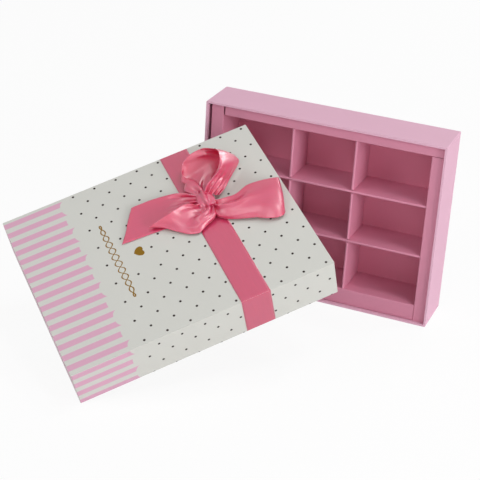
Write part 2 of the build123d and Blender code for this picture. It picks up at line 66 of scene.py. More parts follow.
backward = Vector(
    (
        math.sin(azimuth) * math.cos(elevation),
        -math.cos(azimuth) * math.cos(elevation),
        math.sin(elevation),
    )
)
level_right = (-backward).cross(Vector((0, 0, 1))).normalized()
level_up = level_right.cross(-backward)
picture_right = math.cos(roll) * level_right + math.sin(roll) * level_up
picture_up = math.cos(roll) * level_up - math.sin(roll) * level_right
camera_data = bpy.data.cameras.new("camera")
camera_data.lens = lens_length
camera_data.sensor_width = film_width
camera_data.clip_end = sight_end
camera = bpy.data.objects.new("camera", camera_data)
bpy.context.scene.collection.objects.link(camera)
turned = Matrix((picture_right, picture_up, backward)).transposed().to_4x4()
camera.matrix_world = Matrix.Translation(eye) @ turned
bpy.context.scene.camera = camera
bpy.context.scene.view_settings.view_transform = "Standard"
print("camera at", [round(c, 3) for c in eye])

# %% [markdown]
# Materials are trees of nodes. They could be drawn in the editor, or written with a
# line for every node and every link. The print on the lid alone takes about a hundred
# nodes, so a few helpers come first. One adds a node and plugs its inputs in order,
# and one turns a colour as a paint chart writes it, 0 to 255, into the linear light
# that Blender reckons in.


# %% Helpers for shader nodes
def plug(tree, socket, value):
    """Links an output to a socket, or sets the socket's own value."""
    # A Varying, from the next cell, carries the output that it comes from.
    if isinstance(value, Varying):
        value = value.socket
    if isinstance(value, bpy.types.NodeSocket):
        tree.links.new(value, socket)
    elif value is not None:
        socket.default_value = value


def add_node(tree, kind, *values, **settings):
    """A shader node with its settings, its first inputs set or linked in order."""
    made = tree.nodes.new("ShaderNode" + kind)
    for name, setting in settings.items():
        setattr(made, name, setting)
    for socket, value in zip(made.inputs, values):
        plug(tree, socket, value)
    return made


def linear(red, green, blue):
    """A colour from 0 to 255 in linear light, with full alpha."""
    shares = [channel / 255 for channel in (red, green, blue)]
    return (
        *(
            share / 12.92 if share <= 0.04045 else ((share + 0.055) / 1.055) ** 2.4
            for share in shares
        ),
        1.0,
    )


print("mid grey, 128, is", round(linear(128, 128, 128)[0], 3), "in linear light")

# %% [markdown]
# A pattern is a number that varies over a surface: how far a point lies from a dot,
# or how deep it is in a stripe. Each step of its sum is one Math node. Wired one by
# one the nodes hide the sum, so this small class lets it be written as a sum, and
# adds the nodes as Python works it out.


# %% Sums that become nodes
class Varying:
    """A number that varies over a surface; sums with it add Math nodes."""

    def __init__(self, tree, socket):
        self.tree = tree
        self.socket = socket

    def reckon(self, operation, *others, clamp=False):
        """What one Math node makes of this number and others."""
        sum_node = add_node(
            self.tree, "Math", self, *others, operation=operation, use_clamp=clamp
        )
        return Varying(self.tree, sum_node.outputs[0])

    def __add__(self, other):
        return self.reckon("ADD", other)

    def __sub__(self, other):
        return self.reckon("SUBTRACT", other)

    def __rsub__(self, other):
        return self.reckon("MULTIPLY_ADD", -1.0, other)

    def __mul__(self, other):
        return self.reckon("MULTIPLY", other)

    def __truediv__(self, other):
        return self.reckon("DIVIDE", other)

    def __lt__(self, other):
        return self.reckon("LESS_THAN", other)

    def __gt__(self, other):
        return self.reckon("GREATER_THAN", other)

    def __abs__(self):
        return self.reckon("ABSOLUTE")


def larger(first, second):
    """The larger of two varying numbers: for two masks, where either is 1."""
    return first.reckon("MAXIMUM", second)


# %% [markdown]
# What more than one material needs is made once, as a node group with named inputs
# and outputs, and then placed in each material with that material's own values. A
# plain copy of the nodes in each would do the same, but would have to be mended in
# many places.


# %% Helpers for node groups
def new_group(name, inputs, outputs):
    """An empty shader node group, its inputs and its outputs by their names."""
    group = bpy.data.node_groups.new(name, "ShaderNodeTree")
    for title, kind, value in inputs:
        socket = group.interface.new_socket(title, in_out="INPUT", socket_type=kind)
        if value is not None:
            socket.default_value = value
    for title, kind in outputs:
        group.interface.new_socket(title, in_out="OUTPUT", socket_type=kind)
    entry = group.nodes.new("NodeGroupInput")
    leave = group.nodes.new("NodeGroupOutput")
    return group, entry.outputs, leave.inputs


def place_group(tree, group, values):
    """The outputs of a node group placed in a tree, with its inputs plugged."""
    placed = tree.nodes.new("ShaderNodeGroup")
    placed.node_tree = group
    for title, value in values.items():
        plug(tree, placed.inputs[title], value)
    return placed.outputs


# %% [markdown]
# Every material starts from the Principled shader that Blender gives a new one. It
# could be filled in by hand each time, but paper and satin both need cloudy noise, a
# colour that the noise makes lighter or darker, and small bumps. So each of these is
# a helper too.


# %% Helpers for materials
def new_material(name):
    """A material with an empty tree but for its Principled shader."""
    material = bpy.data.materials.new(name)
    material.use_nodes = True
    tree = material.node_tree
    return material, tree, tree.nodes["Principled BSDF"]


def noise(tree, place, per_metre, detail, roughness=0.5):
    """Cloudy noise with so many clouds to the metre."""
    texture = add_node(tree, "TexNoise")
    for title, value in (
        ("Vector", place),
        ("Scale", per_metre),
        ("Detail", detail),
        ("Roughness", roughness),
    ):
        plug(tree, texture.inputs[title], value)
    return Varying(tree, texture.outputs["Fac"])


def shaded(tree, colour, light):
    """A colour made lighter or darker by a varying number."""
    scaled = add_node(tree, "VectorMath", colour, operation="SCALE")
    plug(tree, scaled.inputs["Scale"], light)
    return scaled.outputs["Vector"]


def relief(tree, shader, height, strength, depth):
    """Small bumps on a shader, from a height that varies."""
    bump = add_node(tree, "Bump")
    bump.inputs["Strength"].default_value = strength
    bump.inputs["Distance"].default_value = depth
    plug(tree, bump.inputs["Height"], height)
    plug(tree, shader.inputs["Normal"], bump.outputs["Normal"])


# %% [markdown]
# Cover paper, lining and card are all pressed fibre. Close up they have a fine
# tooth that breaks the light, and over a hand's breadth a faint cloudiness. A
# scanned picture of paper would show both but repeats itself. Noise at two sizes
# doesn't, and each sheet can set its own.

# %% Pressed fibre, for paper and card
tooth_detail, tooth_roughness, cloud_detail = 4.0, 0.6, 5.0
fibre_gloss_spread, fibre_roughness = 0.14, 0.6

fibre, fibre_in, fibre_out = new_group(
    "pressed_fibre",
    [
        ("Place", "NodeSocketVector", None),
        ("Teeth per metre", "NodeSocketFloat", 1800.0),
        ("Clouds per metre", "NodeSocketFloat", 28.0),
        ("Colour", "NodeSocketColor", (1, 1, 1, 1)),
        ("Cloudiness", "NodeSocketFloat", 0.06),
    ],
    [
        ("Colour", "NodeSocketColor"),
        ("Height", "NodeSocketFloat"),
        ("Roughness", "NodeSocketFloat"),
    ],
)
fibre_place, teeth = fibre_in["Place"], fibre_in["Teeth per metre"]
tooth = noise(fibre, fibre_place, teeth, tooth_detail, tooth_roughness)
clouds = noise(fibre, fibre_place, fibre_in["Clouds per metre"], cloud_detail)
cloud_light = (clouds - 0.5) * fibre_in["Cloudiness"] + 1.0
plug(fibre, fibre_out["Colour"], shaded(fibre, fibre_in["Colour"], cloud_light))
plug(fibre, fibre_out["Height"], tooth)
plug(fibre, fibre_out["Roughness"], tooth * fibre_gloss_spread + fibre_roughness)
print("node group:", fibre.name)

# %% [markdown]
# Fibre has to keep its true size, on a wide wall as on a narrow divider. It could be
# laid out on a flat map of each piece. But object coordinates are the same metres on
# every rigid piece here, so they serve all of them at once.

# %% Fibre on a surface
tooth_strength = 0.35


def true_place(tree):
    """A point's own place in metres, the same on every piece."""
    return add_node(tree, "TexCoord").outputs["Object"]


def fibre_surface(tree, shader, colour, tooth_depth, cloudiness, teeth=1800.0):
    """Pressed fibre of one colour on a Principled shader."""
    values = {
        "Place": true_place(tree),
        "Teeth per metre": teeth,
        "Colour": colour,
        "Cloudiness": cloudiness,
    }
    sheet = place_group(tree, fibre, values)
    relief(tree, shader, sheet["Height"], tooth_strength, tooth_depth)
    plug(tree, shader.inputs["Base Color"], sheet["Colour"])
    plug(tree, shader.inputs["Roughness"], sheet["Roughness"])


# %% [markdown]
# The base is covered in pale pink paper, its floor is lined with a deeper pink and
# the cells are card of that colour. Hidden under the paper are grey board and buff
# tape. Each could have a cell of its own, but all are one kind of sheet with their
# own values, so one function makes them.

# %% Sheets of paper, board and card
paper_tooth, card_tooth, board_tooth = 0.03 * MM, 0.04 * MM, 0.06 * MM


def plain_sheet(
    name, colour, tooth_depth=paper_tooth, cloudiness=0.05, teeth=1800.0, gloss=0.3
):
    """A material for one plain sheet of paper, board or card."""
    material, tree, shader = new_material(name)
    fibre_surface(tree, shader, colour, tooth_depth, cloudiness, teeth)
    shader.inputs["Specular IOR Level"].default_value = gloss
    return material


finishes = {
    "base_paper": plain_sheet("pale_pink_paper", linear(229, 182, 203)),
    "lining_pink": plain_sheet(
        "deep_pink_paper", linear(225, 140, 165), cloudiness=0.06
    ),
    "lining_white": plain_sheet("white_paper", linear(222, 220, 214), cloudiness=0.04),
    "stay_paper": plain_sheet("buff_tape", linear(200, 186, 158), cloudiness=0.08),
    "greyboard": plain_sheet(
        "grey_board", linear(168, 163, 152), board_tooth, cloudiness=0.2, teeth=900.0
    ),
    "insert_card": plain_sheet(
        "deep_pink_card", linear(215, 140, 165), card_tooth, teeth=1400.0, gloss=0.5
    ),
}
print("plain sheets:", [sheet.name for sheet in finishes.values()])

# %% [markdown]
# The lid's paper is printed before it is folded over the board, so its pattern
# runs on from the top down the skirts. The lid leans, so the pattern can't be read
# straight from X, Y and Z. A UV map would follow the lid, but the rigid pieces come
# without one and stay as they are. So each point is measured along the lid, across
# it and up from its rim. The lid lifts off along its own upright, which the record
# tells, and it is turned about that upright. Its sizes are read from its paper.

# %% Directions and sizes of the leaning lid
lid_turn = math.radians(45.47)

lid_lift = next(joint for joint in frame["joints"] if joint["name"] == "lid_lift")
lid_upright = Vector(lid_lift["axis"]).normalized()
level = Vector((1, 0, 0))
uphill = lid_upright.cross(level)
lid_lengthwise = level * math.cos(lid_turn) + uphill * math.sin(lid_turn)
lid_crosswise = uphill * math.cos(lid_turn) - level * math.sin(lid_turn)
lid_directions = (lid_lengthwise, lid_crosswise, lid_upright)


def lid_span(direction):
    """Where the lid's paper starts and ends in one direction."""
    reaches = [vert.co.dot(direction) for vert in nodes["lid_wrap"].data.vertices]
    return min(reaches), max(reaches)


lid_spans = [lid_span(direction) for direction in lid_directions]
lid_length, lid_width, lid_depth = (end - start for start, end in lid_spans)
lid_corner = Vector()
for direction, (start, _) in zip(lid_directions, lid_spans):
    lid_corner += direction * start


def lid_point(along, across, height):
    """A point of the lid: from its left end, its near side and its rim."""
    return (
        lid_corner
        + lid_lengthwise * along
        + lid_crosswise * across
        + lid_upright * height
    )


print("lid:", [round(size / MM, 1) for size in (lid_length, lid_width, lid_depth)])

# %% [markdown]
# Before it is folded, the sheet is flat: the skirts lie beside the top. A point on a
# skirt is therefore given the place that it has on the flat sheet, which is past the
# top's edge by as much as it hangs below the top. The group does this once for all
# the patterns of the print.

# %% The unfolded sheet
fold_reach = 0.4 * MM

unfold, unfold_in, unfold_out = new_group(
    "unfolded_lid_paper",
    [("Place", "NodeSocketVector", None)],
    [("Along", "NodeSocketFloat"), ("Across", "NodeSocketFloat")],
)
from_corner = add_node(
    unfold,
    "VectorMath",
    unfold_in["Place"],
    tuple(lid_corner),
    operation="SUBTRACT",
).outputs["Vector"]


def measured(direction):
    """How far a point lies from the lid's corner in one direction."""
    reach = add_node(
        unfold, "VectorMath", from_corner, tuple(direction), operation="DOT_PRODUCT"
    )
    return Varying(unfold, reach.outputs["Value"])


height = measured(lid_upright)
below_top = height.reckon("MULTIPLY_ADD", -1.0, lid_depth, clamp=True)
for title, direction, size in (
    ("Along", lid_lengthwise, lid_length),
    ("Across", lid_crosswise, lid_width),
):
    run = measured(direction)
    outward = (run > size - fold_reach) - (run < fold_reach)
    plug(unfold, unfold_out[title], below_top * outward + run)
print("node group:", unfold.name)

# %% [markdown]
# The sheet is printed with pink stripes, dark dots and a gold motif. An image would
# need a file, and geometry would stand off the paper. So one node group works the
# print out at each point of the flat sheet: a mask for each ink is 1 where the point
# lies within a shape, and 0 outside.

# %% Masks for the inks
print_softness = 0.12 * MM

print_group, print_in, print_out = new_group(
    "lid_print",
    [("Along", "NodeSocketFloat", 0.0), ("Across", "NodeSocketFloat", 0.0)],
    [
        ("Stripe", "NodeSocketFloat"),
        ("Dot", "NodeSocketFloat"),
        ("Gold", "NodeSocketFloat"),
    ],
)
sheet_along = Varying(print_group, print_in["Along"])
sheet_across = Varying(print_group, print_in["Across"])


def inked(distance):
    """A mask: 1 where a signed distance is under zero, else 0, with a soft edge."""
    return distance.reckon("MULTIPLY_ADD", -1 / print_softness, 0.5, clamp=True)


def off_nearest(value, start, period):
    """How far a value lies from the nearest of a row of places, and which it is."""
    turns = (value - start) / period
    nearest = turns.reckon("ROUND")
    return (turns - nearest) * period, nearest


print("inks:", [ink.name for ink in print_out if ink.name])

# %% [markdown]
# The stripes run along the lid from one end and stop at a scalloped line. They could
# be drawn one by one, but a stripe is every place near one of a row of lines, and
# each scallop is a half circle, stretched a little.

# %% Stripes with a scalloped edge
stripe_period, stripe_share, stripe_start = 10.83 * MM, 0.257, 169.6 * MM
scallop_period, scallop_depth = 16.24 * MM, 4.4 * MM
scallop_start, scallop_tip = 172.1 * MM, 53.4 * MM

off_stripe, _ = off_nearest(sheet_across, stripe_start, stripe_period)
off_scallop, _ = off_nearest(sheet_across, scallop_start, scallop_period)
tip_share = abs(off_scallop) * (-2 / scallop_period) + 1.0
scallop = (1.0 - tip_share * tip_share).reckon("SQRT")
stripe_end = scallop * -scallop_depth + scallop_tip
stripe = inked(abs(off_stripe) - stripe_share * stripe_period)
plug(print_group, print_out["Stripe"], stripe * inked(sheet_along - stripe_end))
stripe_mm, scallop_mm = round(stripe_period / MM, 2), round(scallop_period / MM, 2)
print("stripes every", stripe_mm, "mm, scallops every", scallop_mm, "mm")

# %% [markdown]
# Small dark dots cover the rest of the sheet in a staggered grid, where every second
# row is shifted by half a step. A dot is every place near the nearest point of that
# grid, so no dot has to be placed by itself.

# %% Staggered dots
dot_row, dot_step, dot_radius = 10.545 * MM, 19.56 * MM, 1.07 * MM
dot_first_across, dot_first_along, dots_from = 172.5 * MM, 62.9 * MM, 58.5 * MM

off_row, row = off_nearest(sheet_across, dot_first_across, dot_row)
odd_row = abs(row).reckon("MODULO", 2.0)
off_column, _ = off_nearest(
    sheet_along - odd_row * (dot_step / 2), dot_first_along, dot_step
)
from_dot = (off_row * off_row + off_column * off_column).reckon("SQRT")
dot = inked(from_dot - dot_radius)
print("dots every", round(dot_step / MM, 2), "mm of each row")

# %% [markdown]
# Beside the stripes the sheet has a gold motif: a plain heart, and a line of two
# strands that twist round each other and taper at both ends. A heart could be two
# circles and a square, but one old formula draws it whole. The strands are a sine
# wave and its mirror image.

# %% Gold heart and twisted line
heart_along, heart_across = 90.5 * MM, 88.8 * MM
heart_half_length, heart_half_width = 3.75 * MM, 4.35 * MM
line_along, line_middle, line_half = 72.0 * MM, 88.8 * MM, 42.0 * MM
line_swing, line_wave, line_weight = 3.0 * MM, 15.0 * MM, 0.55 * MM


def from_heart(along, across):
    """How far a place lies from the heart's middle, in units of its size."""
    sideways = (across - heart_across) / heart_half_width
    upwards = (along - heart_along) / heart_half_length
    return sideways, upwards, sideways * sideways + upwards * upwards


heart_x, heart_y, heart_reach = from_heart(sheet_along, sheet_across)
ring = heart_reach - 1.0
heart = ring * ring * ring < heart_x * heart_x * heart_y * heart_y * heart_y

line_run = sheet_across - line_middle
line_share = abs(line_run) / line_half
taper = (1.0 - line_share * line_share).reckon("MAXIMUM", 0.0).reckon("SQRT")
wave = (line_run * (2 * math.pi / line_wave)).reckon("SINE")
swing = wave * taper * line_swing
off_line = sheet_along - line_along
strands = larger(
    inked(abs(off_line - swing) - line_weight),
    inked(abs(off_line + swing) - line_weight),
)
twist = strands * (line_share < 1.0)
plug(print_group, print_out["Gold"], larger(heart, twist))
print("gold line", round(2 * line_half / MM), "mm long")

# %% [markdown]
# A printer leaves out the dots that would touch the motif. A mask cut from the
# pattern would slice some of them in half. So the sum asks, for each place, whether
# the middle of its nearest dot is too near the heart or the line, and a dot is then
# left out whole.

# %% Dots kept clear of the motif
heart_clearance = 2.75
line_clearance, line_end_clearance = 8.5 * MM, 3.4 * MM

dot_along, dot_across = sheet_along - off_column, sheet_across - off_row
_, _, dot_reach = from_heart(dot_along, dot_across)
near_heart = dot_reach < heart_clearance**2
near_line = (abs(dot_along - line_along) < line_clearance) * (
    abs(dot_across - line_middle) < line_half + line_end_clearance
)
dots = dot * (sheet_along > dots_from) * (1.0 - larger(near_heart, near_line))
plug(print_group, print_out["Dot"], dots)
print("node group:", print_group.name, len(print_group.nodes), "nodes")

# %% [markdown]
# The printed paper is pressed fibre again, with the inks laid over its white one by
# one: pink, dark grey, and last the gold. Gold ink is metal flakes in varnish, so it
# is half a metal and the paper's tooth still shows in it.

# %% Printed lid paper
paper_white, stripe_pink = linear(213, 213, 207), linear(221, 170, 194)
dot_dark, gold = linear(46, 36, 34), linear(136, 101, 22)
gold_metal, lid_gloss, lid_tooth, lid_cloudiness = 0.55, 0.35, 0.02 * MM, 0.03


def printed_over(tree, mask, below, ink):
    """An ink over a colour where the mask is 1."""
    mixer = tree.nodes.new("ShaderNodeMix")
    mixer.data_type = "RGBA"
    plug(tree, mixer.inputs["Factor"], mask)
    plug(tree, mixer.inputs["A"], below)
    plug(tree, mixer.inputs["B"], ink)
    return mixer.outputs["Result"]


lid_paper, lid_tree, lid_shader = new_material("printed_paper")
flat = place_group(lid_tree, unfold, {"Place": true_place(lid_tree)})
flat_place = {"Along": flat["Along"], "Across": flat["Across"]}
inks = place_group(lid_tree, print_group, flat_place)
with_stripes = printed_over(lid_tree, inks["Stripe"], paper_white, stripe_pink)
with_dots = printed_over(lid_tree, inks["Dot"], with_stripes, dot_dark)
with_gold = printed_over(lid_tree, inks["Gold"], with_dots, gold)
fibre_surface(lid_tree, lid_shader, with_gold, lid_tooth, lid_cloudiness)
metal = Varying(lid_tree, inks["Gold"]) * gold_metal
plug(lid_tree, lid_shader.inputs["Metallic"], metal)
lid_shader.inputs["Specular IOR Level"].default_value = lid_gloss
finishes["lid_paper"] = lid_paper
print("material:", lid_paper.name)

# %% [markdown]
# Each rigid piece says in the part's record which finish it has. The finish could be
# picked by hand for all 28 pieces, but reading the record keeps both models in step.
# Only the material in a piece's slot changes, and its mesh stays untouched.

# %% Dress the rigid pieces
finish_of = {
    entry["node"]: entry["material_slot"] for entry in frame["record"]["subparts"]
}
for node_name, rigid in nodes.items():
    finish = finishes.get(finish_of[node_name])
    if finish:
        for place_for_finish in rigid.material_slots:
            place_for_finish.material = finish
print("dressed:", sorted(n for n in nodes if finish_of[n] in finishes))

# %% [markdown]
# Satin is woven so that long threads float on its face. They throw one broad soft
# highlight along the folds, and the weave shows only as a very fine rib across the
# ribbon. The rib and the faint lengthwise streaks have to bend with the cloth, so
# the group reads the ribbon's own flat map, which is laid out in metres, and not a
# place in space.

# %% Satin weave
rib_pitch, rib_share = 0.32 * MM, 0.35
thread_stretch, threads_per_metre, thread_detail = 0.06, 900.0, 3.0
thread_contrast = 0.12

satin, satin_in, satin_out = new_group(
    "satin_weave",
    [("Cloth", "NodeSocketVector", None), ("Colour", "NodeSocketColor", (1, 1, 1, 1))],
    [("Colour", "NodeSocketColor"), ("Height", "NodeSocketFloat")],
)
cloth_axes = add_node(satin, "SeparateXYZ", satin_in["Cloth"]).outputs
cloth_run = Varying(satin, cloth_axes["Y"])
rib = (cloth_run * (2 * math.pi / rib_pitch)).reckon("SINE")
long_threads = add_node(
    satin, "CombineXYZ", cloth_axes["X"], cloth_run * thread_stretch, 0.0
)
streaks = noise(satin, long_threads.outputs[0], threads_per_metre, thread_detail)
thread_light = (streaks - 0.5) * thread_contrast + 1.0
plug(satin, satin_out["Colour"], shaded(satin, satin_in["Colour"], thread_light))
plug(satin, satin_out["Height"], rib * rib_share + streaks)
print("node group:", satin.name)

# %% [markdown]
# Rose satin is deep in colour where it faces the viewer and pale where it turns
# away. A coat gives the broad highlight, a pink sheen the pale edges, and a little
# light passes through the thin cloth from fold to fold. A cloth shader of its own
# could be mixed from simple ones, but only the Principled shader goes over whole
# when the scene is exported.

# %% Rose satin
rose = linear(218, 60, 103)
weave_strength, weave_depth = 0.25, 0.04 * MM

ribbon_satin, satin_tree, satin_shader = new_material("ribbon_satin")
cloth_place = add_node(satin_tree, "UVMap", uv_map="cloth").outputs["UV"]
weave = place_group(satin_tree, satin, {"Cloth": cloth_place, "Colour": rose})
relief(satin_tree, satin_shader, weave["Height"], weave_strength, weave_depth)
plug(satin_tree, satin_shader.inputs["Base Color"], weave["Colour"])
for title, value in (
    ("Roughness", 0.32),
    ("IOR", 1.5),
    ("Specular IOR Level", 1.0),
    ("Coat Weight", 0.6),
    ("Coat Roughness", 0.3),
    ("Sheen Weight", 0.35),
    ("Sheen Roughness", 0.3),
    ("Sheen Tint", linear(255, 215, 225)),
    ("Subsurface Weight", 0.6),
    ("Subsurface Radius", (1.0, 0.4, 0.45)),
    ("Subsurface Scale", 1.8 * MM),
):
    satin_shader.inputs[title].default_value = value
print("material:", ribbon_satin.name)

# %% [markdown]
# A length of ribbon bends along its run and, where a knot gathers it, across it too.
# A cloth simulation could tie a bow, but it rarely ends in the shape that is wanted.
# So each piece of the bow is a flat grid of cloth that is led through a few rows of
# places in space: each row runs from one edge of the ribbon to the other. Places are
# in millimetres from the knot's foot, along the lid, across it and up from its top.

# %% Places of the bow
knot_along, knot_across = 159.5 * MM, 107.3 * MM


def bow_point(place):
    """A point of the bow in space from millimetres along, across and up."""
    along_mm, across_mm, up_mm = place
    return lid_point(
        knot_along + along_mm * MM,
        knot_across + across_mm * MM,
        lid_depth + up_mm * MM,
    )


print("the bow stands at", [round(c, 4) for c in bow_point((0, 0, 0))])

# %% [markdown]
# Straight lines between the places would crease the cloth at each of them. A smooth
# line bends through them instead: at each place it heads from the place before to
# the place after. Marks are then set evenly along it.

# %% Smooth lines through places
fine_steps, no_length = 16, 1e-12


def led_through(places, share):
    """A point at a share of a smooth line through some places."""
    spans = len(places) - 1
    span = min(int(share * spans), spans - 1)
    part = share * spans - span
    before = places[max(span - 1, 0)]
    start, end = places[span], places[span + 1]
    after = places[min(span + 2, spans)]
    return 0.5 * (
        2 * start
        + (end - before) * part
        + (2 * before - 5 * start + 4 * end - after) * part**2
        + (3 * start - before - 3 * end + after) * part**3
    )


def even_marks(places, count):
    """Shares of a smooth line that lie evenly along its length, and that length."""
    fine = fine_steps * (len(places) - 1)
    line = [led_through(places, step / fine) for step in range(fine + 1)]
    reach = [0.0]
    for start, end in zip(line, line[1:]):
        reach.append(reach[-1] + (end - start).length)
    marks = []
    step = 0
    for number in range(count + 1):
        target = reach[-1] * number / count
        while step < fine - 1 and reach[step + 1] < target:
            step += 1
        span = max(reach[step + 1] - reach[step], no_length)
        marks.append((step + (target - reach[step]) / span) / fine)
    return marks, reach[-1]


_, bend_length = even_marks([Vector((0, 0)), Vector((1, 0)), Vector((1, 1))], 4)
print("round a corner of 1 by 1 the line is", round(bend_length, 2), "long")

# %% [markdown]
# The rows alone give the cloth's large bends. They are first cut into even cells
# across the ribbon, and the columns of places that this makes are then cut into even
# cells along it, so that the weave is nowhere stretched more than the cloth is.

# %% Even places on a cloth
cells_across = 40


def cloth_places(rows, cells_along):
    """Evenly spaced places on a cloth, as columns along it, and its two sizes."""
    crossings = []
    for row in rows:
        places = [bow_point(place) for place in row]
        marks, _ = even_marks(places, cells_across)
        crossings.append([led_through(places, mark) for mark in marks])
    columns = list(zip(*crossings))
    run_marks, run_length = even_marks(columns[cells_across // 2], cells_along)
    cloth = [[led_through(column, mark) for mark in run_marks] for column in columns]
    widths = [(first - last).length for first, last in zip(cloth[0], cloth[-1])]
    return cloth, sum(widths) / len(widths), run_length


print("cells across each ribbon:", cells_across)

# %% [markdown]
# Where the knot draws the ribbon together it falls into pleats, which fan out and
# die away along the run. Satin's pleats are round on their backs and sharp between.
# A cosine with its lower half turned up has just that shape, so it lifts the cloth
# square to itself, most at the knot and not at all beyond the pleats' reach. A second
# and finer wave keeps the pleats from being all alike.

# %% Pleats
fine_wave_height, fine_wave_turns, fine_wave_start = 0.3, 2.7, 1.0
pleat_fading = 1.4


def pleat_lift(share, run, count, ridge, depths, reaches):
    """How far pleats lift a place, from its shares across and along the cloth.

    There are so many pleats, and a ridge at one share of the width. Depths, in
    millimetres, and reaches, as shares of the run, are those of its two ends.
    """
    ridge_turns = (share - ridge) * count
    lift = 2 * abs(math.cos(math.pi * ridge_turns)) - 1
    lift += fine_wave_height * math.sin(
        fine_wave_turns * math.pi * ridge_turns + fine_wave_start
    )
    near_first = max(0.0, 1 - run / reaches[0]) ** pleat_fading
    near_last = max(0.0, 1 - (1 - run) / reaches[1]) ** pleat_fading
    return (depths[0] * near_first + depths[1] * near_last) * MM * lift


def square_to(cloth, column, station):
    """The direction square to the cloth at one of its places."""
    sideways = (
        cloth[min(column + 1, len(cloth) - 1)][station]
        - cloth[max(column - 1, 0)][station]
    )
    onward = (
        cloth[column][min(station + 1, len(cloth[0]) - 1)]
        - cloth[column][max(station - 1, 0)]
    )
    return sideways.cross(onward).normalized()


tall_pleat = pleat_lift(0.5, 0, count=1, ridge=0.5, depths=(3, 0), reaches=(1, 1))
print("a pleat 3 mm deep rises to", round(tall_pleat / MM, 2), "mm, with its fine wave")

# %% [markdown]
# Each piece starts as a flat grid with as many cells as places. It gets its flat map
# in metres while it still is flat, then every vertex moves to its place, and last a
# modifier gives the sheet its thickness. It could be made thick at once, but the
# smooth folds are simpler to lead on a single sheet.

# %% Ribbon cloth
cloth_thickness = 0.3 * MM


def cloth_piece(name, mesh):
    """An object of satin with the cloth's thickness."""
    piece = bpy.data.objects.new(name, mesh)
    bpy.context.scene.collection.objects.link(piece)
    mesh.materials.append(ribbon_satin)
    thick = piece.modifiers.new("cloth thickness", "SOLIDIFY")
    thick.thickness = cloth_thickness
    thick.offset = 0
    return piece


def grid_shares(vert):
    """How far a flat grid's vertex is across and along, from 0 to 1."""
    return ((vert.co.x + 1) / 2, (vert.co.y + 1) / 2)


def cloth_strip(name, rows, cells_along, pleats):
    """Cloth led through rows of places, pleated from its ends."""
    cloth, width, length = cloth_places(rows, cells_along)
    strip = bmesh.new()
    bmesh.ops.create_grid(
        strip, x_segments=cells_across, y_segments=cells_along, size=1
    )
    cloth_map = strip.loops.layers.uv.new("cloth")
    for face in strip.faces:
        for corner in face.loops:
            across_share, along_share = grid_shares(corner.vert)
            corner[cloth_map].uv = (across_share * width, along_share * length)
    for vert in strip.verts:
        across_share, along_share = grid_shares(vert)
        column = round(across_share * cells_across)
        station = round(along_share * cells_along)
        lift = pleat_lift(across_share, along_share, **pleats)
        vert.co = cloth[column][station] + square_to(cloth, column, station) * lift
    bmesh.ops.recalc_face_normals(strip, faces=strip.faces)
    mesh = bpy.data.meshes.new(name)
    strip.to_mesh(mesh)
    strip.free()
    mesh.shade_smooth()
    print(name, "cut", round(width, 4), "x", round(length, 4), "m")
    return cloth_piece(name, mesh)


# %% [markdown]
# The tail is the ribbon's free end: it leaves the knot in narrow gathers, opens to
# its full width and lies nearly flat on the lid, with its end cut on the slant. A
# flat strip would do for its end, but the gathers are what makes it look tied, so
# its rows lie closer together towards the knot.

# %% Bow: tail
tail_rows = [
    [(-5.7, -1.1, 2.0), (-6.9, 0.4, 4.2), (-5.9, 2.5, 5.2), (-4.8, 5.3, 4.8)],
    [(-11.8, -3.9, 1.6), (-12.0, 0.7, 4.6), (-11.5, 5.6, 5.4), (-9.4, 10.7, 5.0)],
    [(-17.1, -6.3, 1.2), (-17.1, 3.1, 3.6), (-15.7, 8.8, 4.6), (-13.3, 15.9, 4.6)],
    [(-25.5, -8.6, 1.0), (-24.4, 3.9, 2.6), (-22.0, 11.9, 3.6), (-19.6, 20.3, 4.2)],
    [(-34.0, -8.6, 0.8), (-33.5, 5.5, 1.8), (-30.7, 14.7, 2.8), (-28.1, 23.3, 3.8)],
    [(-43.2, -7.7, 0.8), (-43.5, 7.0, 1.6), (-41.6, 16.9, 2.4), (-39.2, 25.4, 3.4)],
    [(-58.5, -6.5, 0.8), (-56.7, 5.8, 1.6), (-53.1, 16.3, 2.2), (-48.1, 26.0, 3.0)],
    [(-69.8, -6.0, 1.0), (-66.0, 3.7, 1.7), (-61.1, 13.5, 2.2), (-53.9, 26.3, 2.8)],
    [(-78.0, -5.6, 1.2), (-71.2, 3.8, 1.7), (-65.0, 14.3, 2.2), (-57.1, 26.4, 2.6)],
]
tail_pleats = dict(count=4.4, ridge=0.3, depths=(3.2, 0), reaches=(0.5, 1))
bow_tail = cloth_strip("ribbon_tail", tail_rows, cells_along=90, pleats=tail_pleats)

# %% [markdown]
# The left loop is the leaf that lies over the tail. The ribbon comes out from under
# the knot with one long crease, runs to a slanted fold that shows as a point, and
# goes back beneath itself. Beyond the crease the cloth rises to its far edge and
# catches the light, and on the near side it rolls under and stays deep in colour.
# Bending a straight strip with a modifier would turn both edges alike. Here each
# edge goes its own way, so the rows say where both of them are.

